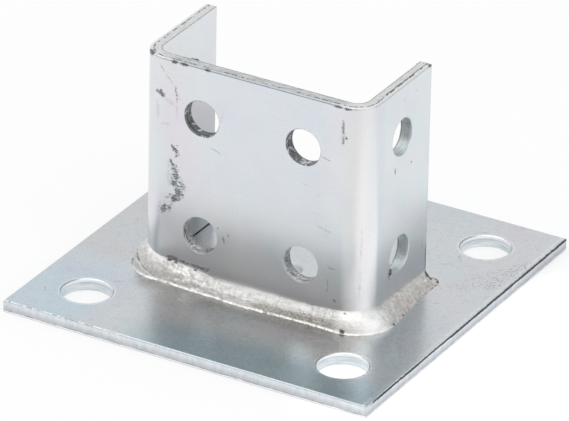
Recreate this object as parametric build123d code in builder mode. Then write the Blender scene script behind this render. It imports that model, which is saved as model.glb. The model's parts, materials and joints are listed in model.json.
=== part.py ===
# Square post base for a pair of strut posts: a base plate with four anchor holes, a channel formed from
# plate that holds the posts, and the one fillet weld that joins them round the outside of the channel.
# Millimetres, +Z up. The origin is the middle of the plate's underside. The web of the channel faces -Y
# and its open side faces +Y.
import os

from build123d import *

# Base plate, sheared and punched from above
plate_side = 152.4
plate_thickness = 4.76
anchor_hole_diameter = 19.05
anchor_edge_distance = 22.225
drain_hole_diameter = 11.1

# Channel: outside width and depth of its section, its top above the plate and its place on the plate
channel_width = 95.25
channel_depth = 47.2
channel_rise = 88.9
channel_wall = 4.76
bend_radius = 5.0
web_setback = 47.8

# Bolt holes of the channel
bolt_hole_diameter = 14.29
bolt_pitch = 47.625
bolt_top_distance = 20.64
web_hole_spacing = 42.5
flange_hole_setback = 20.64

# Worn-in rims where the punch went in, and rolled edges where the shear went in
punch_roll = 0.3
shear_roll = 0.6

# Fillet weld: the channel stands a root gap above the plate, and the bead bulges past a flat fillet
root_gap = 0.5
bead_bulge = 0.14
bead_end_shrink = 0.45
sections_per_run = 7

# Legs of the bead along each run, as (share of the run, leg along the plate, leg up the channel)
left_flange_legs = ((0, 5.2, 4.4), (0.5, 6.0, 5.8), (1, 5.6, 8.2))
left_bend_legs = ((0, 5.6, 8.2), (0.5, 5.2, 9.6), (1, 4.2, 7.8))
web_legs = (
    (0, 4.2, 7.8),
    (0.16, 4.8, 6.7),
    (0.3, 5.2, 4.8),
    (0.5, 6.0, 5.0),
    (0.85, 4.6, 5.0),
    (1, 4.8, 6.2),
)
right_bend_legs = ((0, 4.8, 6.2), (0.5, 6.0, 7.0), (1, 6.7, 5.9))
right_flange_legs = ((0, 6.7, 5.9), (0.6, 6.5, 4.8), (1, 5.2, 4.4))

# Derived places
half_width = channel_width / 2
outer_bend = bend_radius + channel_wall
web_y = web_setback - plate_side / 2
rear_y = web_y + channel_depth
foot_z = plate_thickness + root_gap
top_z = plate_thickness + channel_rise
anchor_spacing = plate_side - 2 * anchor_edge_distance
bolt_middle_z = top_z - bolt_top_distance - bolt_pitch / 2
flange_hole_y = rear_y - flange_hole_setback
bead_buried = channel_wall / 4

# Outside of the channel's section, from the rear of the left flange round to the rear of the right one
with BuildLine() as outside_line:
    FilletPolyline(
        (-half_width, rear_y),
        (-half_width, web_y),
        (half_width, web_y),
        (half_width, rear_y),
        radius=outer_bend,
    )
outside_wire = outside_line.wire()

# Base plate: its upper edges are rolled in, and so are the upper rims of its holes
with BuildPart() as base_plate:
    Box(plate_side, plate_side, plate_thickness, align=(Align.CENTER, Align.CENTER, Align.MIN))
    fillet(base_plate.faces().sort_by(Axis.Z)[-1].edges(), radius=shear_roll)
    with Locations(Plane.XY.offset(plate_thickness)):
        with GridLocations(anchor_spacing, anchor_spacing, 2, 2):
            Hole(anchor_hole_diameter / 2, depth=plate_thickness)
        Hole(drain_hole_diameter / 2, depth=plate_thickness)
    chamfer(base_plate.faces().sort_by(Axis.Z)[-1].inner_wires().edges(), length=punch_roll)

# Channel: the outside line thickened inwards, with its outer top edge and outer hole rims rolled in
with BuildPart() as post_channel:
    with BuildSketch(Plane.XY.offset(foot_z)):
        with BuildLine():
            add(outside_wire)
            offset(amount=channel_wall, side=Side.LEFT)
        make_face()
    extrude(amount=top_z - foot_z)
    top_edges = post_channel.edges().group_by(Axis.Z)[-1]
    outside_at_top = outside_wire.moved(Location((0, 0, top_z)))
    outer_top_edges = top_edges.filter_by(lambda edge: outside_at_top.distance_to(edge @ 0.5) < shear_roll)
    fillet(outer_top_edges, radius=shear_roll)
    with Locations(Plane((0, web_y, bolt_middle_z), x_dir=(1, 0, 0), z_dir=(0, -1, 0))):
        with GridLocations(web_hole_spacing, bolt_pitch, 2, 2):
            Hole(bolt_hole_diameter / 2, depth=channel_wall)
    for side in (-1, 1):
        flange_point = (side * half_width, flange_hole_y, bolt_middle_z)
        with Locations(Plane(flange_point, x_dir=(0, side, 0), z_dir=(side, 0, 0))):
            with GridLocations(bolt_pitch, bolt_pitch, 1, 2):
                Hole(bolt_hole_diameter / 2, depth=channel_wall)
    outside_faces = (
        post_channel.faces().sort_by(Axis.Y)[0],
        post_channel.faces().sort_by(Axis.X)[0],
        post_channel.faces().sort_by(Axis.X)[-1],
    )
    chamfer([edge for face in outside_faces for edge in face.inner_wires().edges()], length=punch_roll)


def bead_section(foot, outward, leg_out, leg_up, buried):
    """A cross-section of the bead at a point of the channel's foot, reaching a little into the channel."""
    plane = Plane((foot.X, foot.Y, plate_thickness), x_dir=outward, z_dir=outward.cross(Vector(0, 0, 1)))
    crown = 0.5 + bead_bulge
    with BuildSketch(plane) as section:
        with BuildLine():
            if buried:
                Polyline((leg_out, 0), (-buried, 0), (-buried, leg_up), (0, leg_up))
            else:
                Polyline((leg_out, 0), (0, 0), (0, leg_up))
            ThreePointArc((0, leg_up), (crown * leg_out, crown * leg_up), (leg_out, 0))
        make_face()
    return section.sketch


def legs_at(legs, share):
    """Both legs at a share of a run, in straight lines between the stated places."""
    for (low, out_low, up_low), (high, out_high, up_high) in zip(legs, legs[1:]):
        if share <= high:
            between = (share - low) / (high - low)
            return out_low + between * (out_high - out_low), up_low + between * (up_high - up_low)


def bead_run(stretch, legs):
    """Cross-sections of the bead along one straight or bent stretch of the outside line."""
    sections = []
    for number in range(sections_per_run):
        share = number / (sections_per_run - 1)
        outward = (stretch % share).cross(Vector(0, 0, 1))
        sections.append(bead_section(stretch @ share, outward, *legs_at(legs, share), bead_buried))
    return sections


# Weld: a convex bead lofted along each stretch and cut back to the outside of the channel. At the rear of
# each flange it turns the corner and runs out across the flange's end.
run_legs = (left_flange_legs, left_bend_legs, web_legs, right_bend_legs, right_flange_legs)
with BuildPart() as fillet_weld:
    for stretch, legs in zip(outside_wire.edges().sort_by(outside_wire), run_legs):
        loft(bead_run(stretch, legs))
    for side, legs in ((-1, left_flange_legs[0][1:]), (1, right_flange_legs[-1][1:])):
        corner = Vector(side * half_width, rear_y)
        flange_end = corner - Vector(side * channel_wall, 0)
        small_legs = [leg * bead_end_shrink for leg in legs]
        loft(
            [
                bead_section(corner, Vector(0, 1, 0), *legs, bead_buried),
                bead_section(flange_end, Vector(0, 1, 0), *small_legs, bead_buried),
            ]
        )
    with BuildSketch(Plane.XY.offset(plate_thickness)):
        with BuildLine():
            add(outside_wire)
            Line(outside_wire @ 1, outside_wire @ 0)
        make_face()
    extrude(amount=channel_rise, mode=Mode.SUBTRACT)
    for side, legs in ((-1, left_flange_legs[0][1:]), (1, right_flange_legs[-1][1:])):
        corner = Vector(side * half_width, rear_y)
        turn = Axis((corner.X, corner.Y, 0), (0, 0, side))
        revolve(bead_section(corner, Vector(side, 0, 0), *legs, 0), axis=turn, revolution_arc=90)

pieces = {"base_plate": base_plate, "post_channel": post_channel, "fillet_weld": fillet_weld}
os.makedirs("parts", exist_ok=True)
for name, piece in pieces.items():
    piece.part.label = name
    export_step(piece.part, f"parts/{name}.step")
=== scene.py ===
# Looks of a zinc plated post base: a square plate, a channel with bolt holes and a weld bead round its foot.
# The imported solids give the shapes, and the bead is laid again on the same path with its ripples and pores.
# Sizes below are in millimetres unless they say otherwise.
import json
import math

import bmesh
import bpy
from mathutils import Matrix, Vector, noise


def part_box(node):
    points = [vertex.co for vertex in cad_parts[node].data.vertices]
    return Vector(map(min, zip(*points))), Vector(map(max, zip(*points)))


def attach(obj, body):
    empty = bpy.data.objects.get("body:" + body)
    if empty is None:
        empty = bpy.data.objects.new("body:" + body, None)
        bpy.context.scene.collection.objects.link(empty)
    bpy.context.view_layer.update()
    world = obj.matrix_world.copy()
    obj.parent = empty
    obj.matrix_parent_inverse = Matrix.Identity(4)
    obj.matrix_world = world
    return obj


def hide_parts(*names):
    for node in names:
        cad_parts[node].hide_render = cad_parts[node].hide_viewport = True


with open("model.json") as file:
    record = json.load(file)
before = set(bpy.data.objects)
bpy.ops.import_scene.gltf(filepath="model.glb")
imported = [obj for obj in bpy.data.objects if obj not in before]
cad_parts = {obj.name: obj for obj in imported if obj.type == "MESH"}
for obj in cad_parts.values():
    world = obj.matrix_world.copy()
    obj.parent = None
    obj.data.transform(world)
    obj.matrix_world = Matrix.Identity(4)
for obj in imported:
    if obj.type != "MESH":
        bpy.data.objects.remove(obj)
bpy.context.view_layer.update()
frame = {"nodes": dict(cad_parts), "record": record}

MM = 0.001
mounts = {mount["name"]: mount for mount in frame["record"]["mounts"]}

# Places read from the frame
plate_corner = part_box("base_plate")[1] / MM
channel_low, channel_high = [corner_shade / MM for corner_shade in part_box("post_channel")]
plate_top = plate_corner.z
half_plate = plate_corner.x
half_width = channel_high.x
web_y = channel_low.y
rear_y = channel_high.y
top_z = channel_high.z
wall = mounts["web_inside"]["pos_m"][1] / MM - web_y

anchor = mounts["anchor_holes"]["dims"]
anchor_at = anchor["spacing_x_mm"] / 2
anchor_radius = anchor["hole_r_mm"]

# Size that the frame doesn't state
outer_bend = 9.76

# Centres of the bends
bend_x = half_width - outer_bend
bend_y = web_y + outer_bend

# Camera, from a fit of the photograph: angles in degrees, distance from the point that it looks at
camera_azimuth = 29.3945
camera_elevation = 27.4273
camera_roll = 1.19968
camera_distance = 2599.6
camera_target = Vector((-7.25, 9.54, 22.87))
camera_lens = 444.72
camera_sensor = 36
camera_reach_m = 100


def direction(azimuth, elevation):
    """The way to something seen from the part. Azimuth 0 is the front, and it grows towards +X. Degrees."""
    a, e = math.radians(azimuth), math.radians(elevation)
    return Vector((math.sin(a) * math.cos(e), -math.cos(a) * math.cos(e), math.sin(e)))


def new_object(name, data):
    thing = bpy.data.objects.new(name, data)
    bpy.context.scene.collection.objects.link(thing)
    return thing


def new_piece(name, mesh, material):
    """A smooth object with one material."""
    mesh.shade_smooth()
    mesh.materials.append(material)
    return new_object(name, mesh)


def make_camera():
    data = bpy.data.cameras.new("camera")
    data.lens = camera_lens
    data.sensor_width = camera_sensor
    data.clip_end = camera_reach_m
    camera = new_object("camera", data)
    back = direction(camera_azimuth, camera_elevation)
    upright = (-back).to_track_quat("-Z", "Y").to_matrix().to_4x4()
    rolled = upright @ Matrix.Rotation(math.radians(camera_roll), 4, "Z")
    camera.matrix_world = Matrix.Translation((camera_target + back * camera_distance) * MM) @ rolled
    bpy.context.scene.camera = camera


# How far noise usually strays from its middle
usual_noise_swing = 0.25

# How deep below a face its marks reach
mark_depth = 1.5


def grey(level):
    return level, level, level


class Nodes:
    """Short ways to add shader nodes to one tree. A value may be a number, a tuple or a node's output."""

    def __init__(self, tree):
        self.tree = tree
        tree.nodes.clear()

    def add(self, kind, inputs=None, **settings):
        node = self.tree.nodes.new(kind)
        for key, value in settings.items():
            setattr(node, key, value)
        for key, value in (inputs or {}).items():
            self.feed(node.inputs[key], value)
        return node

    def feed(self, socket, value):
        if isinstance(value, bpy.types.NodeSocket):
            self.tree.links.new(value, socket)
        elif isinstance(value, tuple) and socket.type == "RGBA" and len(value) == 3:
            socket.default_value = (*value, 1)
        else:
            socket.default_value = value

    def math(self, operation, a, b=0):
        return self.add("ShaderNodeMath", {0: a, 1: b}, operation=operation).outputs[0]

    def less(self, a, b):
        return self.math("SUBTRACT", a, b)

    def scaled(self, value, factor):
        return self.math("MULTIPLY", value, factor)

    def fold(self, operation, values):
        total = values[0]
        for value in values[1:]:
            total = self.math(operation, total, value)
        return total

    def sum(self, *values):
        return self.fold("ADD", values)

    def product(self, *values):
        return self.fold("MULTIPLY", values)

    def highest(self, *values):
        return self.fold("MAXIMUM", values)

    def swing(self, value, reach):
        """Turns 0 to 1 into minus reach to plus reach."""
        return self.math("MULTIPLY", self.less(value, 0.5), 2 * reach)

    def step(self, value, low, high):
        """Rises smoothly from 0 at low to 1 at high, and falls where low is above high."""
        if low > high:
            return self.less(1, self.step(value, high, low))
        node = self.add("ShaderNodeMapRange", {"Value": value, "From Min": low, "From Max": high})
        node.interpolation_type = "SMOOTHSTEP"
        return node.outputs["Result"]

    def band(self, value, low, high, soft):
        """1 between low and high, with edges that fade over the soft width."""
        rising = self.step(value, low - soft / 2, low + soft / 2)
        return self.math("MULTIPLY", rising, self.step(value, high + soft / 2, high - soft / 2))

    def near(self, value, middle, close, far):
        """1 where a value is no further than close from the middle, fading to 0 at far."""
        return self.step(self.math("ABSOLUTE", self.less(value, middle)), far, close)

    def stretch(self, place, scale):
        return self.add("ShaderNodeMapping", {"Vector": place, "Scale": scale}).outputs["Vector"]

    def noise(self, place, scale, detail=2, roughness=0.5):
        """Noise from 0 to 1. A tuple as the scale gives each axis its own."""
        if isinstance(scale, tuple):
            place = self.stretch(place, scale)
            scale = 1
        inputs = {"Vector": place, "Scale": scale, "Detail": detail, "Roughness": roughness}
        return self.add("ShaderNodeTexNoise", inputs).outputs["Fac"]

    def vector_math(self, operation, inputs):
        return self.add("ShaderNodeVectorMath", inputs, operation=operation).outputs[0]

    def warp(self, place, scale, reach):
        """Pushes a place about by up to about the reach, so that marks set there get ragged edges."""
        node = self.add("ShaderNodeTexNoise", {"Vector": place, "Scale": scale, "Detail": 2})
        push = self.vector_math("SUBTRACT", {0: node.outputs["Color"], 1: grey(0.5)})
        grown = self.vector_math("SCALE", {0: push, "Scale": reach / usual_noise_swing})
        return self.vector_math("ADD", {0: place, 1: grown})

    def mix(self, share, a, b, data_type="RGBA", blend_type="MIX"):
        """Goes from a to b as the share goes from 0 to 1."""
        inputs = {"Factor": share, "A": a, "B": b}
        node = self.add("ShaderNodeMix", inputs, data_type=data_type, blend_type=blend_type)
        return node.outputs["Result"]

    def blend(self, share, a, b):
        """The same for plain values."""
        return self.mix(share, a, b, data_type="FLOAT")

    def tinted(self, colour, tints):
        """Multiplies a colour by the factors of each tint in turn, as far as its share says."""
        for share, factors in tints:
            colour = self.mix(share, colour, factors, blend_type="MULTIPLY")
        return colour

    def painted(self, colour, paints):
        """Lays each paint over a colour in turn, as far as its mask, times its strength, says."""
        for mask, strength, paint in paints:
            colour = self.mix(mask if strength == 1 else self.scaled(mask, strength), colour, paint)
        return colour

    def split(self, place):
        return self.add("ShaderNodeSeparateXYZ", {"Vector": place}).outputs[:3]

    def join(self, x, y, z):
        return self.add("ShaderNodeCombineXYZ", {"X": x, "Y": y, "Z": z}).outputs["Vector"]

    def stroke(self, flat, start, end, width, deep):
        """A straight mark on a flat place: 1 along its middle, 0 beyond its rim and below its depth."""
        (x0, y0), (x1, y1) = start, end
        length = math.hypot(x1 - x0, y1 - y0)
        inputs = {
            "Vector": flat,
            "Location": ((x0 + x1) / 2, (y0 + y1) / 2, 0),
            "Rotation": (0, 0, math.atan2(y1 - y0, x1 - x0)),
            "Scale": ((length + width) / 2, width / 2, deep),
        }
        within = self.add("ShaderNodeMapping", inputs, vector_type="TEXTURE").outputs["Vector"]
        gradient = self.add("ShaderNodeTexGradient", {"Vector": within}, gradient_type="SPHERICAL")
        return gradient.outputs["Fac"]

    def marks(self, flat, strokes):
        """All the strokes of a list, each a chain of points with its width last."""
        found = []
        for *points, width in strokes:
            if len(points) == 1:
                points = points * 2
            for start, end in zip(points, points[1:]):
                found.append(self.stroke(flat, start, end, width, mark_depth))
        return self.highest(*found)

    def metal(self, colour, roughness, height, metallic=1):
        """A metal surface. Height is the relief in millimetres."""
        relief = self.scaled(height, MM)
        bump = self.add("ShaderNodeBump", {"Height": relief, "Distance": 1, "Strength": 1})
        inputs = {
            "Base Color": colour,
            "Roughness": roughness,
            "Metallic": metallic,
            "Normal": bump.outputs["Normal"],
        }
        shader = self.add("ShaderNodeBsdfPrincipled", inputs)
        self.add("ShaderNodeOutputMaterial", {"Surface": shader.outputs["BSDF"]})


def new_material(name):
    material = bpy.data.materials.new(name)
    material.use_nodes = True
    return material, Nodes(material.node_tree)


def millimetres(nodes):
    """The point being shaded, in the frame, in millimetres."""
    place = nodes.add("ShaderNodeTexCoord").outputs["Object"]
    return nodes.stretch(place, (1 / MM, 1 / MM, 1 / MM))


# Studio: the world is white to the camera. In reflections it is dim towards the camera's side, and also low
# behind on the right.
world_fill = 0.85
camera_side_light = 0.3
behind_right_light = 0.44
backdrop_light = 0.83
zenith_light = 1
backdrop_colour = (0.96, 0.985, 1)
camera_side_colour = (1, 0.96, 0.92)
white = grey(1)

# Where each part of the world starts and is full, as a share of the way along an axis
backdrop_rise = (-0.75, 0.05)
zenith_rise = (0.45, 0.75)
right_rise = (0.02, 0.32)
behind_rise = (0.1, 0.5)


def make_world():
    world = bpy.data.worlds.new("studio")
    world.use_nodes = True
    bpy.context.scene.world = world
    nodes = Nodes(world.node_tree)
    rays = nodes.add("ShaderNodeLightPath")
    x, y, z = nodes.split(nodes.add("ShaderNodeTexCoord").outputs["Generated"])
    in_backdrop = nodes.step(y, *backdrop_rise)
    behind_right = nodes.product(nodes.step(x, *right_rise), nodes.step(y, *behind_rise))
    backdrop = nodes.blend(behind_right, backdrop_light, behind_right_light)
    graded = nodes.blend(in_backdrop, camera_side_light, backdrop)
    graded = nodes.blend(nodes.step(z, *zenith_rise), graded, zenith_light)
    reflected = nodes.blend(rays.outputs["Is Glossy Ray"], world_fill, graded)
    seen = nodes.highest(rays.outputs["Is Camera Ray"], rays.outputs["Is Transmission Ray"])
    strength = nodes.blend(seen, reflected, 1)
    colour = nodes.mix(in_backdrop, camera_side_colour, backdrop_colour)
    colour = nodes.mix(seen, colour, white)
    background = nodes.add("ShaderNodeBackground", {"Color": colour, "Strength": strength})
    nodes.add("ShaderNodeOutputWorld", {"Surface": background.outputs["Background"]})


# Floor: white, with a painted pool of light beside the right bend, where the right lamp would light it
floor_half = 6000
floor_z = -0.05
floor_glow = 0.66
floor_colour = grey(0.9)
pool_start = (130, -27)
pool_end = (150, -27)
pool_width = 212
pool_light = 0.32
pool_full = 0.3

# A painted shadow of the part on the floor, which shows only in what the metal reflects
shadow_start = (-5, 100)
shadow_end = (40, 104)
shadow_width = 44
shadow_depth = 0.8
shadow_full = 0.6


def make_floor():
    ways = ((-1, -1), (1, -1), (1, 1), (-1, 1))
    corners = [(x * floor_half * MM, y * floor_half * MM, floor_z * MM) for x, y in ways]
    mesh = bpy.data.meshes.new("floor")
    mesh.from_pydata(corners, [], [(0, 1, 2, 3)])
    floor = new_object("floor", mesh)
    material, nodes = new_material("floor_white")
    place = millimetres(nodes)
    rays = nodes.add("ShaderNodeLightPath")
    seen = nodes.highest(*[rays.outputs[f"Is {kind} Ray"] for kind in ("Camera", "Glossy", "Transmission")])
    pool = nodes.step(nodes.stroke(place, pool_start, pool_end, pool_width, 1), 0, pool_full)
    shadow = nodes.stroke(place, shadow_start, shadow_end, shadow_width, 1)
    shadow = nodes.step(shadow, 0, shadow_full)
    shadow = nodes.product(shadow, rays.outputs["Is Glossy Ray"], shadow_depth)
    glow = nodes.sum(1, nodes.scaled(pool, pool_light), nodes.scaled(shadow, -1))
    matt = nodes.add("ShaderNodeBsdfDiffuse", {"Color": floor_colour}).outputs["BSDF"]
    glowing = nodes.add("ShaderNodeEmission", {"Color": white, "Strength": glow}).outputs["Emission"]
    upper = {0: nodes.scaled(seen, floor_glow), 1: matt, 2: glowing}
    upper_side = nodes.add("ShaderNodeMixShader", upper).outputs["Shader"]
    beneath = nodes.add("ShaderNodeNewGeometry").outputs["Backfacing"]
    clear = nodes.add("ShaderNodeBsdfTransparent").outputs["BSDF"]
    both_sides = nodes.add("ShaderNodeMixShader", {0: beneath, 1: upper_side, 2: clear})
    nodes.add("ShaderNodeOutputMaterial", {"Surface": both_sides.outputs["Shader"]})
    mesh.materials.append(material)


# Lamps: name, azimuth and elevation of the lamp seen from the part in degrees, distance, width and height in
# metres, watts
lamps = (
    ("softbox_above", 325, 70, 1.6, 1.8, 1.4, 7),
    ("softbox_right", 66, 26, 1.6, 1.9, 0.9, 5),
)


def make_lamps():
    for name, azimuth, elevation, distance, width, height, watts in lamps:
        data = bpy.data.lights.new(name, "AREA")
        data.shape = "RECTANGLE"
        data.size = width
        data.size_y = height
        data.energy = watts
        lamp = new_object(name, data)
        back = direction(azimuth, elevation)
        turn = (-back).to_track_quat("-Z", "Y").to_matrix().to_4x4()
        lamp.matrix_world = Matrix.Translation(back * distance) @ turn


# Plate: its colour, and dark scuffs on its top face as chains of (x, y) points with a width
plate_base = (0.715, 0.73, 0.735)
plate_scuffs = (
    ((-44.7, -35.8), (-42.5, -33), 2.4),
    ((-49.5, -43), (-46, -40), 1.6),
    ((-69, -59), (-67, -61.5), 1.2),
    ((-62.5, -28.5), 1.6),
    ((58, 4), (61, 6.5), 1),
    ((44, 60), (50, 66), 1.6),
    ((52, 38), (48, 44), 1.4),
    ((57.5, 19.5), 1.2),
    ((46, 33), (49.5, 35.5), 1.6),
    ((49, 50.5), (53.5, 54), 2),
    ((48, -33.8), (52.6, -32.4), 2.2),
    ((43.6, -35), (44.4, -36.8), 1.4),
    ((38.5, -38), (41, -39), 1.4),
)

# Other places on the top face, in the same form
plate_glints = (((-22.6, -41.9), (-20.2, -42.1), 1),)
# Painted shade on the plate inside the channel
inside_shade_patch = (((-34, -18), (-30, -6), 22),)
edge_speckles = (((70, 26), (73, 50), 9),)
right_speckles = (((60, 18), (72, 44), 14),)

# How deep below a face a cut wall's own look starts, and the width over which it does
cut_start = 0.14
cut_fade = 0.12

# Depths below the plate's top: where the bright lower lip starts, where the dark seam over it starts, and
# where the dark line in the walls of the holes lies
lip_from = 4
seam_from = 3.85
hole_break = (1.35, 1.7)


def plate_drifts(nodes, place, flat, mottle):
    """Colour of the top: cyan at the left and in front, lavender and grey patches, and painted shade in
    front, at the front right corner and by the channel.
    """
    x, y = nodes.split(flat)[:2]
    patches = nodes.noise(place, 0.045, 3, 0.6)
    sparkle = nodes.noise(place, 1.1, 3, 0.7)
    left = nodes.product(nodes.step(x, -34, -58), nodes.step(y, -18, -44))
    # Painted shade: darker and cyan in front, darker at the front right corner and along the channel's foot
    front_shade = nodes.product(nodes.step(y, -50, -66), nodes.band(x, -22, 76, 24))
    corner_shade = nodes.product(nodes.step(y, -62, -72), nodes.step(x, 50, 64))
    before_foot = nodes.step(y, -20, -28)
    toe = nodes.product(nodes.step(y, -50, -38), nodes.band(x, -36, 54, 12), before_foot)
    beside_toe_shade = nodes.product(nodes.step(y, -43, -37), nodes.band(x, -42, 48, 8), before_foot)
    left_back = nodes.product(nodes.step(x, -36, -48), nodes.step(y, -34, -22))
    right_back = nodes.product(nodes.step(x, 50, 60), nodes.step(y, -40, -26))
    colour = nodes.tinted(plate_base, (
        (nodes.step(patches, 0.48, 0.62), (0.96, 1, 1.01)),
        (nodes.step(nodes.noise(flat, 0.06, 2), 0.5, 0.62), (0.995, 0.97, 0.99)),
        (left, (0.91, 0.99, 1.05)),
        (front_shade, (0.7, 0.84, 0.88)),
        (corner_shade, (0.8, 0.84, 0.86)),
        (toe, (0.86, 0.85, 0.84)),
        (beside_toe_shade, (0.72, 0.71, 0.7)),
        (left_back, (0.965, 0.945, 0.945)),
        (right_back, (1.01, 0.99, 0.995)),
        (nodes.step(sparkle, 0.42, 0.68), grey(0.93)),
        (nodes.step(mottle, 0.5, 0.8), grey(0.86)),
    ))
    edge_band = nodes.band(x, half_plate - 2.2, half_plate - 0.8, 0.5)
    edge_band = nodes.product(edge_band, nodes.step(mottle, 0.35, 0.6))
    return nodes.mix(nodes.scaled(edge_band, 0.4), colour, (0.95, 0.96, 0.97))


def plate_sides(nodes, flat, level, outside, streaks, seam):
    """Colour of the sheared sides, which darken downwards to the seam and the lip, and of the hole walls."""
    x, y, depth = nodes.split(flat)
    streaky = nodes.step(streaks, 0.3, 0.7)
    sheared = nodes.mix(streaky, (0.73, 0.765, 0.8), (0.85, 0.885, 0.915))
    lower_part = nodes.product(outside, nodes.step(level, 0.8, 3.8))
    foot = nodes.product(nodes.step(depth, plate_top - 0.22, plate_top - 0.12), outside)
    right_side = nodes.step(x, half_plate - 0.7, half_plate - 0.4)
    hole_wall = nodes.painted(nodes.mix(streaky, (0.6, 0.67, 0.7), (0.84, 0.88, 0.9)), (
        (nodes.step(level, 1.5, 1), 1, (0.95, 0.96, 0.97)),
        (nodes.band(level, *hole_break, 0.25), 0.35, (0.35, 0.38, 0.42)),
    ))
    colour = nodes.mix(outside, hole_wall, sheared)
    colour = nodes.tinted(colour, ((lower_part, (0.72, 0.73, 0.755)),))
    colour = nodes.painted(colour, (
        (nodes.product(outside, nodes.step(level, lip_from, lip_from + 0.15)), 1, grey(0.97)),
        (seam, 0.75, (0.22, 0.22, 0.25)),
        (foot, 0.6, (0.4, 0.4, 0.42)),
    ))
    return nodes.tinted(colour, ((right_side, (0.86, 0.86, 0.87)),))


def plate_rim_line(nodes, place, plan, depth, outside, gaps):
    """The dark line under the rolled edge, crisp on the right side and broken at the left and the rear."""
    x, y = nodes.split(place)[:2]
    on_right = nodes.step(x, half_plate - 0.75, half_plate - 0.55)
    edge_level = nodes.math("ADD", depth, nodes.swing(nodes.noise(plan, 0.5, 4, 0.7), 0.35))
    thick = nodes.noise(plan, 0.045, 2, 0.6)
    crisp_low = nodes.blend(nodes.step(thick, 0.4, 0.6), 0.75, 1.05)
    past_crisp = nodes.less(edge_level, crisp_low)
    to_corner = nodes.sum(y, nodes.swing(nodes.noise(place, 0.6, 2), 14))
    crisp = nodes.product(
        on_right,
        nodes.step(edge_level, 0.12, 0.22),
        nodes.step(past_crisp, 0.06, -0.06),
        nodes.step(to_corner, -75, -69),
    )
    elsewhere = nodes.highest(nodes.step(x, -24, -34), nodes.step(y, 0, 10))
    broken = nodes.product(nodes.band(edge_level, -0.1, 0.28, 0.12), gaps, outside, elsewhere)
    return nodes.highest(
        nodes.product(crisp, nodes.step(depth, 0.08, 0.16)),
        nodes.product(broken, nodes.step(depth, 0.02, 0.06), 0.55),
    )


def plate_marks(nodes, colour, place, flat):
    """Lays scuffs, glints, painted shade on the plate inside the channel and speckles over a colour."""
    ragged = nodes.warp(flat, 1.3, 0.5)
    scuff = nodes.step(nodes.marks(ragged, plate_scuffs), 0.05, 0.45)
    scuff = nodes.product(scuff, nodes.step(nodes.noise(place, 1.6, 3, 0.7), 0.42, 0.62))
    glint = nodes.step(nodes.marks(ragged, plate_glints), 0.05, 0.4)
    inside_shade = nodes.step(nodes.marks(flat, inside_shade_patch), 0, 0.4)
    by_edge = nodes.step(nodes.marks(flat, edge_speckles), 0, 0.35)
    speckle_area = nodes.highest(nodes.step(nodes.marks(flat, right_speckles), 0, 0.6), by_edge)
    specks = nodes.step(nodes.noise(place, 1.3, 2, 0.6), 0.54, 0.64)
    strays = nodes.step(nodes.noise(place, 0.9, 1, 0.5), 0.77, 0.8)
    specks = nodes.highest(nodes.product(speckle_area, specks), strays)
    speck_share = nodes.product(specks, nodes.blend(by_edge, 0.4, 0.75))
    colour = nodes.painted(colour, ((scuff, 0.5, (0.28, 0.28, 0.31)), (glint, 0.8, white)))
    colour = nodes.tinted(colour, ((inside_shade, (0.8, 0.79, 0.78)),))
    return nodes.mix(speck_share, colour, (0.22, 0.23, 0.26))


def anchor_rims(nodes, colour, flat, mottle):
    """Lays a light ring round each anchor hole, and painted shade as dark lines at its two ends, over a
    colour.
    """
    x, y, depth = nodes.split(flat)
    hole_x = nodes.less(nodes.math("ABSOLUTE", x), anchor_at)
    hole_y = nodes.less(nodes.math("ABSOLUTE", y), anchor_at)
    past_rim = nodes.math("SQRT", nodes.sum(nodes.product(hole_x, hole_x), nodes.product(hole_y, hole_y)))
    past_rim = nodes.less(past_rim, anchor_radius)
    on_top = nodes.step(depth, 0.5, 0.35)
    ring = nodes.product(nodes.band(past_rim, 0.5, 1.3, 0.6), on_top, nodes.step(mottle, 0.3, 0.6))
    # Painted shade: dark lines at the two ends of each hole
    ends = nodes.step(nodes.math("ABSOLUTE", hole_x), 6.5, 8.8)
    rim_end_shade = nodes.product(nodes.band(past_rim, -0.02, 0.42, 0.2), on_top, ends)
    return nodes.painted(colour, ((ring, 0.45, (0.97, 0.97, 0.98)), (rim_end_shade, 0.6, (0.2, 0.22, 0.25))))


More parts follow.
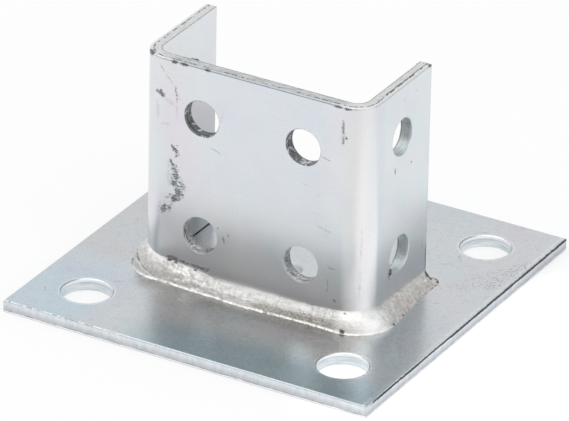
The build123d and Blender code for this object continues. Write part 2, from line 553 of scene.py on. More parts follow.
def plate_material():
    material, nodes = new_material("plate_zinc")
    place = millimetres(nodes)
    x, y, z = nodes.split(place)
    depth = nodes.less(plate_top, z)
    flat = nodes.join(x, y, depth)
    plan = nodes.stretch(place, (1, 1, 0))
    fine = nodes.noise(place, 0.9, 2, 0.5)
    cloud = nodes.noise(place, 0.12, 4, 0.6)
    mottle = nodes.noise(place, 0.5, 4, 0.65)

    side = nodes.band(depth, cut_start, plate_top - 0.01, cut_fade)
    across = nodes.highest(nodes.math("ABSOLUTE", x), nodes.math("ABSOLUTE", y))
    outside = nodes.step(across, half_plate - 1.5, half_plate - 1)
    upright = nodes.noise(place, (0.5, 0.5, 0.2), 5, 0.7)
    around = nodes.noise(place, (0.12, 0.12, 1.1), 4, 0.7)
    streaks = nodes.blend(outside, around, upright)
    level = nodes.less(depth, nodes.swing(nodes.noise(plan, 0.12, 3, 0.6), 0.4))
    gaps = nodes.step(nodes.noise(plan, 0.35, 3, 0.7), 0.42, 0.55)
    seam = nodes.product(nodes.band(level, seam_from, seam_from + 0.17, 0.2), gaps, outside)
    rim_line = plate_rim_line(nodes, place, plan, depth, outside, gaps)

    colour = plate_drifts(nodes, place, flat, mottle)
    colour = nodes.mix(side, colour, plate_sides(nodes, flat, level, outside, streaks, seam))
    colour = nodes.mix(nodes.scaled(rim_line, 0.95), colour, (0.035, 0.035, 0.045))
    colour = plate_marks(nodes, colour, place, flat)
    colour = anchor_rims(nodes, colour, flat, mottle)
    roughness = nodes.blend(side, nodes.blend(cloud, 0.22, 0.33), 0.45)
    relief = nodes.sum(
        nodes.scaled(fine, 0.006),
        nodes.product(side, nodes.scaled(streaks, 0.12)),
        nodes.scaled(rim_line, -0.15),
        nodes.scaled(seam, -0.12),
        nodes.scaled(mottle, 0.012),
    )
    nodes.metal(colour, roughness, relief)
    return material


# Channel: its colour, and marks on its outside as chains of points with a width. A point gives the distance
# along the sheet from the middle of the web, and the height.
channel_base = (0.78, 0.79, 0.81)
dark_scuffs = (
    ((-40, 79.6), (-37.8, 79), 1.9),
    ((37.6, 88.4), (37.7, 82.6), 1.2),
    ((37.8, 81.4), (37.7, 78.6), 1.1),
    ((39, 81.5), 1.4),
    ((77.1, 59.9), 1.3),
    ((65, 62.4), (65, 60), 1.1),
    ((35.7, 14.4), 1.5),
    ((-13.6, 30.6), 0.9),
    ((-11.4, 27.4), (-11, 25.2), 1.2),
    ((-9.3, 28.5), 1),
    ((-34.8, 13), (-30.4, 12.8), 2.2),
    ((-29.6, 12.6), (-25.8, 12.2), 1.6),
    ((-24.9, 12.3), (-21, 12), (-18.2, 11.7), 2),
    ((-17.6, 12.6), (-17.4, 12.2), 1.4),
    ((63, 21.4), (64.6, 19.6), 1.1),
    ((61.8, 20), (63.2, 17.4), 1.1),
)
# Patches of scuffing that thin out towards their rims, as chains of points with a width
scuffed = (
    ((-39.8, 79.6), (-38, 79), 3.4),
    ((-33.4, 59.6), (-31.2, 55.6), 4.4),
    ((-33.8, 52.6), (-32, 49.6), (-31.6, 45), 3.8),
    ((-34.6, 44.6), (-28, 43.6), 4.6),
    ((-31.2, 41.6), (-29.8, 39.4), 5.8),
    ((-34.6, 36.8), (-30.2, 38.4), 5),
    ((-37.8, 32.4), (-34.2, 34), 5.8),
    ((-33, 83), (-31.6, 78.5), 1.4),
)
# Black dents under the rolled top edge and along the right flange's rear edge
dents = (
    ((-33.6, 93.1), (-32.2, 93.2), 1.5),
    ((-30.2, 93.2), (-27.4, 93.2), 1.2),
    ((-19.9, 93.3), (-18.2, 93.3), 1.2),
    ((33.6, 93.1), (36.8, 93.1), 1.1),
    ((38.2, 93.1), (40.4, 93.1), 1),
    ((88.9, 93.4), (90.8, 93.5), 1.3),
    ((-46.4, 93), (-43.2, 93.6), 2.6),
    ((90.5, 8.6), (90.5, 21), 1.3),
)
faint_smudges = (
    ((-37.6, 78.2), (-32, 75.4), 2.2),
    ((-40.2, 76.5), (-39.6, 68), 2.2),
    ((-31.5, 77), (-31.8, 70), 1.4),
    ((-38, 67), (-34.4, 67.6), 1.6),
    ((-34.5, 53.5), (-34.8, 42), 2.6),
    ((-29.5, 47), (-28, 41), 2.4),
    ((90.4, 22), (90.4, 58), 0.8),
    ((-12.2, 78), (-13.5, 73), 1),
    ((21.5, 90), 0.9),
    ((20, 59), (26, 57.5), 0.8),
    ((28, 55.5), 1),
    ((27, 43), (35, 41.5), 1.6),
    ((28, 40.5), (33.5, 40), 0.9),
    ((40.2, 15.7), 1),
    ((87.4, 22.4), (87.2, 19.8), 2),
    ((37.6, 89), (37.7, 78), 2.6),
    ((71, 88.2), (71, 86.4), 1),
    ((79.2, 87.6), (80.6, 87.8), 1.4),
    ((-36, 46), (-30, 50), 3),
    ((45.4, 15), (45.3, 30), (45.6, 47), 1.1),
)
fine_scratches = (
    ((-39, 91), (-36.8, 88), (-33, 84), (-31.4, 80.5), (-31.6, 76.5), 0.35),
    ((31.9, 27.4), (36.6, 27.2), 0.6),
    ((31.8, 23), (33, 19.4), (32.2, 17), 0.55),
    ((28.5, 71.6), (33, 70.4), 0.4),
    ((-18, 62.5), (-12, 61), 0.3),
)


def sheet_place(nodes, place):
    """The bent sheet laid flat: distance along it from the web's middle, height, and depth in the wall."""
    x, y, z = nodes.split(place)
    across = nodes.math("ABSOLUTE", x)
    past_x = nodes.math("MAXIMUM", nodes.less(across, bend_x), 0)
    past_y = nodes.math("MAXIMUM", nodes.less(bend_y, y), 0)
    radius = nodes.math("SQRT", nodes.sum(nodes.product(past_x, past_x), nodes.product(past_y, past_y)))
    depth = nodes.less(outer_bend, radius)
    turned = nodes.scaled(nodes.math("ARCTAN2", past_x, past_y), outer_bend)
    on_web = nodes.math("MINIMUM", across, bend_x)
    on_flange = nodes.math("MAXIMUM", nodes.less(y, bend_y), 0)
    along = nodes.product(nodes.math("SIGN", x), nodes.sum(on_web, turned, on_flange))
    return along, z, depth


def between_bends(nodes, along):
    return nodes.near(along, 0, 32, 40)


def channel_drifts(nodes, flat, place_y, streaks, low_bend_highlight):
    """Colour of the faces: bluer in the middle, pinkish at the left, warm and then cool at the right bend,
    with a painted highlight low on that bend and painted shade low at the left, beside the left bend and in a
    recess.
    """
    along, height, depth = nodes.split(flat)
    patches = nodes.noise(flat, (0.06, 0.036, 0.06), 3, 0.6)
    sparkle = nodes.noise(flat, 1.1, 3, 0.7)
    middle = nodes.product(nodes.step(height, 30, 55), nodes.near(along, 6, 14, 34))
    past_bend = nodes.product(nodes.band(along, 47, 56, 5), nodes.step(height, 30, 50))
    # Painted shade low at the left, beside the left bend and on the left flange's inner face low down
    low_left_shade = nodes.product(nodes.band(along, -40, -8, 10), nodes.step(height, 34, 24))
    beside_bend_shade = nodes.product(nodes.band(along, -40, -30, 5), nodes.step(height, 30, 16))
    recess_shade = nodes.product(nodes.step(depth, wall - 0.15, wall - 0.05), nodes.step(height, 40, 28))
    recess_shade = nodes.product(recess_shade, nodes.step(along, -34, -40), nodes.step(place_y, 14, 4))
    top_roll = nodes.product(nodes.band(depth, 0.03, 0.7, 0.1), nodes.step(height, top_z - 0.75, top_z - 0.5))
    colour = nodes.tinted(channel_base, (
        (nodes.step(patches, 0.45, 0.6), (0.965, 1, 0.995)),
        (nodes.step(nodes.noise(flat, 0.05, 2), 0.48, 0.6), (0.99, 0.975, 1)),
        (middle, (0.96, 0.985, 1.01)),
        (nodes.near(along, -31, 3, 10), (1, 0.975, 0.985)),
        (nodes.near(along, 45, 3, 9), (0.985, 0.965, 0.945)),
    ))
    # Painted highlight low on the right bend
    colour = nodes.mix(nodes.scaled(low_bend_highlight, 0.45), colour, (0.99, 0.99, 1))
    return nodes.tinted(colour, (
        (past_bend, (0.93, 0.95, 0.97)),
        (nodes.step(along, 53, 57), (0.955, 0.985, 0.99)),
        (low_left_shade, (0.95, 0.945, 0.94)),
        (beside_bend_shade, (0.91, 0.905, 0.895)),
        (recess_shade, (0.62, 0.61, 0.6)),
        (nodes.step(streaks, 0.55, 0.8), grey(0.95)),
        (nodes.step(sparkle, 0.42, 0.68), grey(0.965)),
        (nodes.product(top_roll, between_bends(nodes, along)), (0.66, 0.7, 0.74)),
    ))


def cut_lines(nodes, flat, bands, through, at_top, in_flange):
    """Shares of the dashes, pits and split in the cut walls, and of the line at their inner rim."""
    along, height, depth = nodes.split(flat)
    dash_level = nodes.sum(depth, nodes.swing(nodes.noise(flat, (0.3, 0.3, 0), 3, 0.7), 0.6))
    dash_gaps = nodes.step(nodes.noise(flat, (0.5, 0.5, 0.3), 3, 0.7), 0.47, 0.55)
    dashes = nodes.product(nodes.band(dash_level, 1.3, 1.8, 0.25), dash_gaps)
    pits = nodes.product(nodes.band(depth, 1.9, 4.2, 0.5), nodes.step(bands, 0.36, 0.28))
    dashes = nodes.product(nodes.highest(dashes, pits), nodes.blend(in_flange, 1, 0.25))
    split_level = nodes.sum(depth, nodes.swing(nodes.noise(flat, 0.2, 2), 0.5))
    split = nodes.product(nodes.band(split_level, 1.75, 2.1, 0.2), nodes.step(along, 59, 61), at_top)
    inner_line = nodes.band(depth, wall - 0.5, wall - 0.15, 0.15)
    return nodes.highest(dashes, split), nodes.product(inner_line, nodes.step(through, 0.38, 0.5))


def channel_cuts(nodes, flat, place_y, bands, through):
    """Colour of the cut edges, paler past the bends, and of the walls of the holes, dark in the web."""
    along, height, depth = nodes.split(flat)
    inside_bends = between_bends(nodes, along)
    at_top = nodes.step(height, top_z - 1.2, top_z - 0.6)
    past_bends = nodes.product(nodes.less(1, inside_bends), at_top)
    outer_strip = nodes.mix(nodes.product(at_top, inside_bends), (0.78, 0.81, 0.83), (0.58, 0.62, 0.65))
    below_top = nodes.step(height, top_z - 1.5, top_z - 2.5)
    in_hole = nodes.product(below_top, nodes.step(place_y, rear_y - 0.6, rear_y - 1.2))
    behind_web = nodes.step(place_y, web_y + wall + 0.5, web_y + wall + 1.5)
    in_flange = nodes.product(in_hole, behind_web)
    in_web = nodes.product(in_hole, nodes.less(1, behind_web))
    in_upper = nodes.product(in_web, nodes.step(height, 45, 55))
    pale = nodes.product(in_web, nodes.step(nodes.noise(flat, 0.45, 2, 0.6), 0.55, 0.62))
    hatched = nodes.step(nodes.noise(flat, (2.2, 2.2, 0.7), 2, 0.6), 0.54, 0.62)
    dashes, inner_line = cut_lines(nodes, flat, bands, through, at_top, in_flange)
    colour = nodes.mix(nodes.step(bands, 0.38, 0.62), (0.5, 0.49, 0.485), (0.78, 0.78, 0.775))
    colour = nodes.painted(colour, (
        (nodes.step(depth, 1.5, 0.9), 1, outer_strip),
        (past_bends, 0.6, (0.9, 0.88, 0.87)),
    ))
    colour = nodes.tinted(colour, (
        (nodes.step(through, 0.5, 0.75), grey(0.78)),
        (in_hole, grey(0.8)),
    ))
    colour = nodes.mix(nodes.scaled(in_flange, 0.6), colour, (0.66, 0.74, 0.73))
    colour = nodes.tinted(colour, ((in_upper, (0.42, 0.44, 0.44)),))
    return nodes.painted(colour, (
        (pale, 0.75, (0.88, 0.89, 0.9)),
        (nodes.product(in_web, hatched), 0.75, (0.05, 0.06, 0.06)),
        (dashes, 0.9, (0.04, 0.04, 0.045)),
        (inner_line, 0.65, (0.16, 0.15, 0.15)),
    ))


def channel_marks(nodes, flat):
    """Shares of the dark marks, the faint ones and the scratches on the outside."""
    ragged = nodes.warp(flat, 2.6, 0.42)
    broken = nodes.step(nodes.noise(flat, (1.3, 2, 1), 4, 0.75), 0.4, 0.54)
    dark = nodes.product(nodes.step(nodes.marks(ragged, dark_scuffs), 0.03, 0.35), broken)
    hatch = nodes.noise(flat, (0.75, 2, 1), 4, 0.8)
    near_scuffs = nodes.marks(nodes.warp(flat, 0.5, 1.2), scuffed)
    patchy = nodes.step(nodes.sum(hatch, nodes.scaled(near_scuffs, 0.34)), 0.6, 0.72)
    patchy = nodes.product(patchy, nodes.step(near_scuffs, 0, 0.1))
    dark = nodes.highest(dark, nodes.step(nodes.marks(ragged, dents), 0.03, 0.3), patchy)
    faint = nodes.step(nodes.marks(ragged, faint_smudges), 0.02, 0.6)
    faint = nodes.product(faint, nodes.step(nodes.noise(flat, 0.8, 3, 0.7), 0.35, 0.65))
    scratch = nodes.step(nodes.marks(nodes.warp(flat, 0.4, 0.3), fine_scratches), 0.02, 0.5)
    return dark, faint, scratch


def channel_material():
    material, nodes = new_material("channel_zinc")
    place = millimetres(nodes)
    place_y = nodes.split(place)[1]
    along, height, depth = sheet_place(nodes, place)
    flat = nodes.join(along, height, depth)
    fine = nodes.noise(place, 0.9, 2, 0.5)
    cloud = nodes.noise(flat, (0.12, 0.048, 0.12), 4, 0.6)
    streaks = nodes.noise(flat, (0.05, 1.6, 1), 3, 0.6)
    bands = nodes.noise(flat, (0.22, 0.22, 1.9), 4, 0.7)
    through = nodes.noise(flat, (1.4, 1.4, 0.2), 4, 0.7)
    strays = nodes.step(nodes.noise(flat, 0.8, 1, 0.5), 0.77, 0.81)
    # Where a painted highlight lies low on the right bend, where the finish is also rougher
    low_bend_highlight = nodes.product(nodes.band(along, 39, 53, 4), nodes.step(height, 36, 16))
    cut = nodes.band(depth, cut_start, wall - 0.1, cut_fade)
    dark, faint, scratch = channel_marks(nodes, flat)

    colour = channel_drifts(nodes, flat, place_y, streaks, low_bend_highlight)
    colour = nodes.mix(cut, colour, channel_cuts(nodes, flat, place_y, bands, through))
    colour = nodes.painted(colour, (
        (faint, 0.38, (0.3, 0.3, 0.34)),
        (dark, 0.82, (0.08, 0.08, 0.1)),
        (scratch, 0.55, (0.16, 0.16, 0.18)),
        (strays, 0.3, (0.3, 0.3, 0.32)),
    ))
    roughness = nodes.blend(nodes.scaled(low_bend_highlight, 0.8), nodes.blend(cloud, 0.25, 0.36), 0.52)
    roughness = nodes.blend(cut, roughness, 0.4)
    relief = nodes.sum(
        nodes.scaled(fine, 0.005),
        nodes.scaled(streaks, 0.012),
        nodes.product(cut, nodes.sum(nodes.scaled(bands, 0.3), nodes.scaled(through, 0.16))),
        nodes.scaled(scratch, -0.05),
        nodes.scaled(dark, -0.03),
    )
    nodes.metal(colour, roughness, relief)
    return material


# Bead: its section along each run of the channel's foot, as (share of the run, leg along the plate, leg up
# the channel, hollowness). A hollowness of 1 bulges as an ellipse does, and one of 2 is flat.
left_flange_legs = ((0, 5.2, 4.4, 1.29), (0.5, 6, 5.8, 1.29), (1, 5.6, 8.2, 1.29))
left_bend_legs = ((0, 5.6, 8.2, 1.29), (0.5, 5.2, 9.6, 1.29), (1, 4.2, 7.8, 1.29))
web_legs = (
    (0, 4.2, 7.8, 1.29),
    (0.16, 4.8, 6.7, 1.29),
    (0.3, 5.2, 4.8, 1.29),
    (0.5, 6, 5, 1.29),
    (0.85, 4.6, 5, 1.29),
    (1, 4.8, 6.2, 1.29),
)
right_bend_legs = ((0, 4.8, 6.2, 1.29), (0.5, 6, 7, 1.2), (1, 7.1, 5.9, 1.2))
right_flange_legs = (
    (0, 7.1, 5.9, 1.2),
    (0.15, 6.5, 5.7, 1.29),
    (0.35, 5.6, 5.2, 1.35),
    (0.75, 4.6, 4.6, 1.35),
    (0.86, 4.8, 4.5, 1.4),
    (1, 4.9, 4.4, 2.1),
)
right_turn_legs = ((0, 4.9, 4.4, 2.1), (0.12, 4.6, 3.6, 2.6), (0.6, 3.6, 2.9, 2.5), (1, 3, 2.4, 2.2))

# Skin of the bead along each run, as (share of the run, height of its ripples, its lumps, its streaks, its
# grain, its groove, share of the section where the groove lies, tone of the toe, tone of the flank below the
# groove). Tones run from -1, dark, to 1, bright. The toe's tone is a painted highlight where it is above 0
# and painted shade where it is below, and the flank's tone and the groove's darkening are painted shade.
left_flange_skin = (
    (0, 0.14, 0.2, 0.02, 0.04, 0, 0.45, -0.1, 0),
    (0.75, 0.12, 0.2, 0.02, 0.03, 0, 0.45, -0.1, -0.1),
    (1, 0.1, 0.2, 0.02, 0.03, 0.1, 0.45, -0.2, -0.5),
)
left_bend_skin = (
    (0, 0.05, 0.15, 0.03, 0.02, 0.2, 0.45, -0.2, -0.5),
    (0.3, 0.03, 0.1, 0.03, 0.02, 0.45, 0.42, -0.1, -0.4),
    (0.5, 0.03, 0.1, 0.03, 0.02, 0.45, 0.36, 0.1, -0.2),
    (0.65, 0.03, 0.1, 0.03, 0.02, 0.4, 0.3, 0.6, 0),
    (1, 0.04, 0.15, 0.04, 0.02, 0.2, 0.12, 1.2, 0),
)
web_skin = (
    (0, 0.05, 0.15, 0.05, 0.02, 0.1, 0.12, 1.2, 0),
    (0.1, 0.05, 0.35, 0.08, 0.04, 0, 0.12, 1.2, 0),
    (0.33, 0.05, 0.4, 0.08, 0.06, 0, 0.2, 0.9, 0),
    (0.45, 0.03, 0.22, 0.07, 0.05, 0, 0.2, 0.75, 0),
    (0.6, 0.03, 0.15, 0.05, 0.09, 0, 0.2, 0.8, 0),
    (0.95, 0.02, 0.15, 0.04, 0.1, 0, 0.2, 0.9, 0),
    (1, 0.02, 0.1, 0.03, 0.06, 0, 0.2, 0.9, 0),
)
right_bend_skin = (
    (0, 0.02, 0.1, 0.03, 0.05, 0, 0.2, 0.8, 0),
    (0.5, 0.02, 0.1, 0.02, 0.02, 0, 0.2, 0.4, 0),
    (1, 0.02, 0.15, 0.02, 0.04, 0, 0.2, -0.3, 0),
)
right_flange_skin = (
    (0, 0.02, 0.18, 0.01, 0.04, 0, 0.2, -0.1, 0),
    (0.1, 0.02, 0.25, 0.01, 0.03, 0, 0.2, -0.3, 0),
    (0.5, 0.02, 0.25, 0.01, 0.03, 0, 0.2, -0.4, 0),
    (1, 0.03, 0.2, 0.01, 0.03, 0.05, 0.2, -0.5, 0),
)

corner_turn = 5
end_share = 0.35
end_round = 1.4
bead_spacing = 0.24
bead_across = 46
bead_buried = 0.05
groove_width = 0.035
groove_shade = 1.5
lip_reach = 0.6
lip_height = 0.32
toe_line = 0.62
ripple_pitch = 2.1
ripple_bow = 1.5
ripple_drift = 1.1
drift_pace = 0.22

# The middle height of a row of half sine waves
sine_middle = 0.64

# Shares of the section over which the skin fades out at the toe and at the top
toe_fade = 0.1
top_fade = 0.08

# Dark spots of the bead, among them painted shade in the hollow at the right flange's rear end, and painted
# glints: place, radius and tone
spots_shade_and_glints = (
    ((41.4, -33.3, 5.4), 0.75, -1.6),
    ((42.4, -33.2, 5.2), 0.6, -1.4),
    ((40.4, -29.2, 10.9), 0.5, -0.65),
    ((41.2, -29, 10.7), 0.4, -0.5),
    ((-33.8, -28.6, 12.1), 0.9, -0.9),
    ((-31, -28.8, 11.7), 0.9, -0.8),
    ((-28, -29.2, 11.4), 0.6, -0.6),
    ((-22.5, -29, 11), 0.7, -0.8),
    ((-20.2, -29.4, 10.2), 0.6, -0.6),
    ((-26.5, -29.8, 10.9), 1.8, 0.6),
    ((-29.6, -31.2, 9.6), 1.8, 0.6),
    ((-25, -31.4, 9.3), 2.2, 0.7),
    ((-20.6, -30.6, 9.2), 1.6, 0.6),
    ((-17, -31.6, 8), 1.3, 0.5),
    ((48.2, 18.4, 8.5), 1, -1.3),
    ((49.2, 17.6, 7.9), 0.8, -1.3),
    ((50.3, 17.9, 6.8), 0.7, -1),
    ((50.2, 14, 7.65), 0.6, 1.5),
    ((54.9, -17.5, 5.2), 0.7, -1),
    ((53.9, -9.5, 5.1), 0.6, -0.8),
)

# Pores and pits of the bead: place, radius and depth
pores = (
    ((41.7, -33.2, 5.5), 0.7, 0.5),
    ((-15.6, -31.9, 7.9), 0.45, 0.4),
    ((-19.2, -33.2, 6.4), 0.6, 0.35),
    ((-37.8, -29.9, 10.3), 0.4, 0.35),
    ((-45.6, -31, 9.6), 0.4, 0.35),
    ((-27.9, -32.3, 7.6), 0.5, 0.35),
    ((-28.9, -32.3, 7.2), 0.4, 0.3),
    ((36, -33.4, 6.6), 0.4, 0.3),
    ((33, -32.9, 7.4), 0.35, 0.25),
    ((51.2, 17.4, 6), 0.7, 0.3),
)


def at_share(table, share):
    """The values of a table at a share of a run, in straight lines between the stated places."""
    for low, high in zip(table, table[1:]):
        if share <= high[0]:
            between = (share - low[0]) / (high[0] - low[0])
            return [a + between * (b - a) for a, b in zip(low[1:], high[1:])]
    return list(table[-1][1:])


def straight(start, end, facing):
    """A straight stretch of the foot: its length, and its point and outward way at a share of it."""
    start, end = Vector(start), Vector(end)
    outward = Vector((math.cos(math.radians(facing)), math.sin(math.radians(facing))))
    return (end - start).length, lambda share: (start.lerp(end, share), outward)


def turn_round(centre, radius, facing, length):
    """A quarter turn of the foot about a centre, starting where outward is the facing."""
    def at(share):
        angle = math.radians(facing + 90 * share)
        outward = Vector((math.cos(angle), math.sin(angle)))
        return Vector(centre) + outward * radius, outward
    return length, at


def bead_runs():
    """The stretches that the bead follows, from the left flange's rear round to the right flange's."""
    bend_length = outer_bend * math.pi / 2
    first_legs, last_legs = left_flange_legs[0][1:], right_flange_legs[-1][1:]
    first_skin, last_skin = left_flange_skin[0][1:], right_flange_skin[-1][1:]
    first_small = [leg * end_share for leg in first_legs[:2]] + [first_legs[2]]
    last_small = [leg * end_share for leg in last_legs[:2]] + [last_legs[2]]
    starting = ((0, *first_small), (1, *first_legs))
    ending = ((0, *right_turn_legs[-1][1:]), (1, *last_small))
    level = ((0, *first_legs), (1, *first_legs))
    skins = ((0, *first_skin), (1, *first_skin)), ((0, *last_skin), (1, *last_skin))
    left, right = -half_width, half_width
    return (
        (straight((left + wall, rear_y), (left, rear_y), 90), starting, skins[0]),
        (turn_round((left, rear_y), 0, 90, corner_turn), level, skins[0]),
        (straight((left, rear_y), (left, bend_y), 180), left_flange_legs, left_flange_skin),
        (turn_round((-bend_x, bend_y), outer_bend, 180, bend_length), left_bend_legs, left_bend_skin),
        (straight((-bend_x, web_y), (bend_x, web_y), 270), web_legs, web_skin),
        (turn_round((bend_x, bend_y), outer_bend, 270, bend_length), right_bend_legs, right_bend_skin),
        (straight((right, bend_y), (right, rear_y), 0), right_flange_legs, right_flange_skin),
        (turn_round((right, rear_y), 0, 0, corner_turn), right_turn_legs, skins[1]),
        (straight((right, rear_y), (right - wall, rear_y), 90), ending, skins[1]),
    )


def bell(away, width):
    """1 at no distance away, falling off over the width."""
    return math.exp(-((away / width) ** 2))


def bead_skin(place, distance, share, skin):
    """How far the bead's surface stands out from its plain section at a place, in millimetres."""
    ripple, lump, streak, grain, groove, groove_at = skin[:6]
    fade = min(1, share / toe_fade) * min(1, (1 - share) / top_fade)
    bow = ripple_bow * math.sin(math.pi * share)
    drift = noise.noise(Vector((distance * drift_pace, 0, 7.3))) * ripple_drift
    phase = (distance - bow) / ripple_pitch + drift
    rise = ripple * (abs(math.sin(math.pi * phase)) - sine_middle) * 2
    rise += lump * noise.noise(place * 0.33) + 0.6 * lump * noise.noise(place * 0.75)
    rise += streak * noise.noise(Vector((distance * 0.2, share * 9, 5.2))) * 1.8
    rise += streak * noise.noise(Vector((distance * 0.45, share * 20, 1.4))) * 0.6
    rise += grain * noise.noise(place * 1.7) * 1.6 + grain * noise.noise(place * 3.1)
    rise -= groove * bell(share - groove_at, groove_width)
    for centre, radius, deep in pores:
        rise -= deep * bell((place - Vector(centre)).length, radius)
    return rise * fade


def bead_tone(place, up, share, skin):
    """Darkness or brightness of the bead at a place, from -1 to 1: painted highlight and shade at the toe,
    painted shade in the groove and on the flank, and the spots and glints.
    """
    groove, groove_at, toe, flank_shade = skin[4:]
    uneven = noise.noise(place * 0.9) + 0.6 * noise.noise(place * 2.3)
    line = toe_line * (0.7 + 0.5 * toe) if toe > 0 else toe_line / 2
    tone = toe * (1 + 0.9 * uneven) * math.exp(-(((up + 0.3 * uneven) / line) ** 4))
    tone -= groove_shade * groove * bell(share - groove_at, groove_width)
    tone += flank_shade * max(0, 1 - (share / groove_at) ** 4)
    for centre, radius, depth in spots_shade_and_glints:
        tone += depth * bell((place - Vector(centre)).length, radius)
    return max(-1, min(1, tone))


def bead_ring(at, travelled, legs, skin, scale):
    """One closed section of the bead, skin first from the plate to the channel and then back, with tones."""
    point, outward = at

    def spot(out, up):
        return (point.x + outward.x * out, point.y + outward.y * out, plate_top + up)

    wander = Vector((point.x, point.y, 0))
    uneven = skin[1]
    leg_out = legs[0] * scale + uneven * (0.7 * noise.noise(wander * 0.5) + 0.5 * noise.noise(wander * 1.1))
    leg_up = legs[1] * scale + uneven * (0.9 * noise.noise(wander * 0.45 + Vector((0, 0, 9))))
    lip = lip_reach * scale * (1 + 0.8 * noise.noise(wander * 0.8 + Vector((0, 0, 4))))
    flat = []
    for number in range(bead_across + 1):
        angle = number / bead_across * math.pi / 2
        out = leg_out * max(math.cos(angle), 0) ** legs[2]
        up = leg_up * math.sin(angle) ** legs[2]
        flat.append((out + lip * math.exp(-up / lip_height), up))
    ring = []
    tones = []
    for number, (out, up) in enumerate(flat):
        before, after = flat[max(number - 1, 0)], flat[min(number + 1, bead_across)]
        along_out, along_up = after[0] - before[0], after[1] - before[1]
        size = math.hypot(along_out, along_up)
        place = Vector(spot(out, up))
        rise = bead_skin(place, travelled, number / bead_across, skin) * scale
        tones.append(bead_tone(place, up, number / bead_across, skin))
        out, up = out + rise * along_up / size, max(up - rise * along_out / size, 0)
        ring.append(spot(out, up))
    back = -bead_buried
    for out, up in ((back, flat[-1][1]), (back, back), (flat[0][0], back)):
        ring.append(spot(out, up))
        tones.append(0)
    return ring, tones


def make_bead(material):
    runs = bead_runs()
    total = sum(run[0][0] for run in runs)
    rings = []
    tones = []
    travelled_before = 0
    for (length, at), legs, skin in runs:
        steps = max(2, round(length / bead_spacing))
        for number in range(steps):
            share = (number + 0.5) / steps
            travelled = travelled_before + share * length
            to_end = min(travelled, total - travelled, end_round) / end_round
            scale = math.sqrt(1 - (1 - to_end) ** 2)
            here = at_share(legs, share), at_share(skin, share)
            ring, ring_tones = bead_ring(at(share), travelled, *here, scale)
            rings.append(ring)
            tones.extend(ring_tones)
        travelled_before += length
    size = len(rings[0])
    points = [tuple(value * MM for value in point) for ring in rings for point in ring]
    faces = []
    for row in range(len(rings) - 1):
        for column in range(size):
            beside = (column + 1) % size
            low, high = row * size, (row + 1) * size
            faces.append((low + column, high + column, high + beside, low + beside))
    faces.append(tuple(range(size)))
    faces.append(tuple(reversed(range((len(rings) - 1) * size, len(rings) * size))))
    mesh = bpy.data.meshes.new("weld_bead")
    mesh.from_pydata(points, [], faces)
    mesh.attributes.new("tone", "FLOAT", "POINT").data.foreach_set("value", tones)
    bead = new_piece("weld_bead", mesh, material)
    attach(bead, "root")
    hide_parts("fillet_weld")


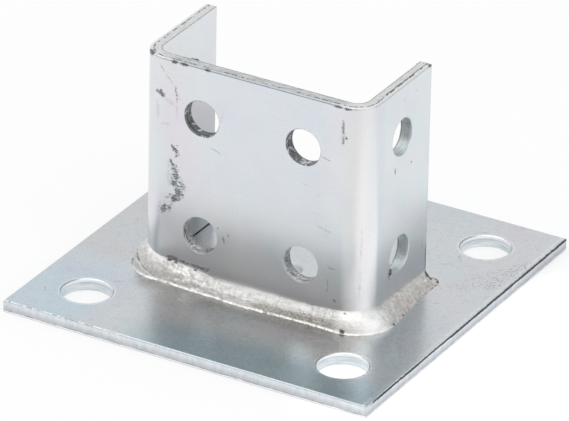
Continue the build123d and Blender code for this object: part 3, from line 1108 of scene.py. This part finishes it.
def bead_material():
    material, nodes = new_material("weld_zinc")
    place = millimetres(nodes)
    x, y, z = nodes.split(place)
    tone = nodes.add("ShaderNodeAttribute", attribute_name="tone").outputs["Fac"]
    grain = nodes.noise(place, 0.8, 3, 0.6)
    coarse = nodes.noise(place, 0.3, 3, 0.6)

    # Streaks along the bead in front of the web, and grain elsewhere
    by_web = nodes.product(nodes.band(x, -38, 38, 6), nodes.step(y, -26, -29))
    drawn = nodes.noise(place, (0.22, 0.9, 0.9), 3, 0.55)
    texture = nodes.blend(nodes.scaled(by_web, 0.6), grain, drawn)
    colour = nodes.mix(nodes.step(texture, 0.3, 0.64), (0.59, 0.585, 0.575), (0.78, 0.78, 0.77))

    # Greyer and browner on the right flange, with a pinkish patch, darker low down before the right bend,
    # a painted highlight on that bend, and brown-grey stains at the left
    on_flange = nodes.product(nodes.step(x, 46, 49), nodes.step(y, -22, -14))
    low = nodes.step(z, 8.8, 6.8)
    granular = nodes.product(nodes.band(x, 4, 41, 10), low, nodes.step(y, -27, -30))
    bend_highlight = nodes.product(nodes.step(x, 36, 40), nodes.step(y, -19, -25))
    stain = nodes.product(nodes.step(coarse, 0.54, 0.72), nodes.step(x, -42, -26))
    colour = nodes.tinted(colour, (
        (on_flange, (0.865, 0.845, 0.82)),
        (nodes.product(on_flange, nodes.near(y, -5, 0, 6), 0.7), (1.02, 0.94, 0.95)),
        (granular, (0.72, 0.705, 0.68)),
    ))
    colour = nodes.mix(nodes.scaled(bend_highlight, 0.65), colour, (0.94, 0.94, 0.93))
    colour = nodes.tinted(colour, ((stain, (0.87, 0.855, 0.82)),))

    # Dark specks, the painted highlight of the toe line and of the glints, and the painted shade of grooves,
    # pits and hollows, with dark spots
    specks = nodes.step(nodes.noise(place, 1.25, 3, 0.75), 0.54, 0.64)
    left_web = nodes.scaled(nodes.band(x, -36, -6, 6), 0.28)
    rough_parts = nodes.highest(nodes.scaled(granular, 0.9), left_web, nodes.scaled(on_flange, 0.25))
    toned = nodes.step(nodes.math("ABSOLUTE", tone), 0.1, 0.5)
    ragged = nodes.sum(tone, nodes.product(nodes.swing(grain, 0.9), toned))
    colour = nodes.painted(colour, (
        (nodes.product(specks, rough_parts), 0.75, (0.12, 0.11, 0.1)),
        (nodes.step(ragged, 0.25, 0.85), 1, (0.91, 0.91, 0.9)),
        (nodes.step(ragged, -0.15, -0.8), 0.88, grey(0.05)),
    ))

    roughness = nodes.blend(grain, 0.42, 0.6)
    nodes.metal(colour, roughness, nodes.product(texture, nodes.blend(on_flange, 0.04, 0.02)), 0.6)
    return material


# Burrs that the shear and the punch left: place, half sizes and the seed of their lumps
burrs = (
    ("burr_web_top", (-27.7, web_y + wall + 0.5, top_z - 1.15), (2.3, 1.7, 0.9), 3),
    ("burr_flange_top", (half_width - wall - 0.1, rear_y - 1.6, top_z - 1.1), (0.7, 1.8, 0.8), 8),
    ("burr_flange_hole", (half_width + 0.05, -8.3, 20.4), (0.35, 0.9, 1.3), 5),
)
burr_spread = 0.35
burr_dark = (0.05, 0.05, 0.06)
burr_light = (0.34, 0.33, 0.34)


def make_burr(name, centre, half, seed, material):
    shape = bmesh.new()
    bmesh.ops.create_icosphere(shape, subdivisions=4, radius=1)
    for vertex in shape.verts:
        way = vertex.co.copy()
        lump = 1 + burr_spread * noise.noise(way * 1.6 + Vector((seed, 0, 0)))
        vertex.co = Vector([(c + w * lump * h) * MM for c, w, h in zip(centre, way, half)])
    mesh = bpy.data.meshes.new(name)
    shape.to_mesh(mesh)
    shape.free()
    burr = new_piece(name, mesh, material)
    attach(burr, "root")


def burr_material():
    material, nodes = new_material("burr_zinc")
    place = millimetres(nodes)
    grain = nodes.noise(place, 1.2, 4, 0.7)
    colour = nodes.mix(nodes.step(grain, 0.4, 0.6), burr_dark, burr_light)
    nodes.metal(colour, 0.45, nodes.scaled(grain, 0.2))
    return material


def dress(node, material):
    """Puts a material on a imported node."""
    for material_slot in frame["nodes"][node].material_slots:
        material_slot.link = "OBJECT"
        material_slot.material = material


bpy.context.scene.view_settings.view_transform = "Standard"
make_camera()
make_world()
make_floor()
make_lamps()
dress("base_plate", plate_material())
dress("post_channel", channel_material())
make_bead(bead_material())
burr_finish = burr_material()
for burr in burrs:
    make_burr(*burr, burr_finish)
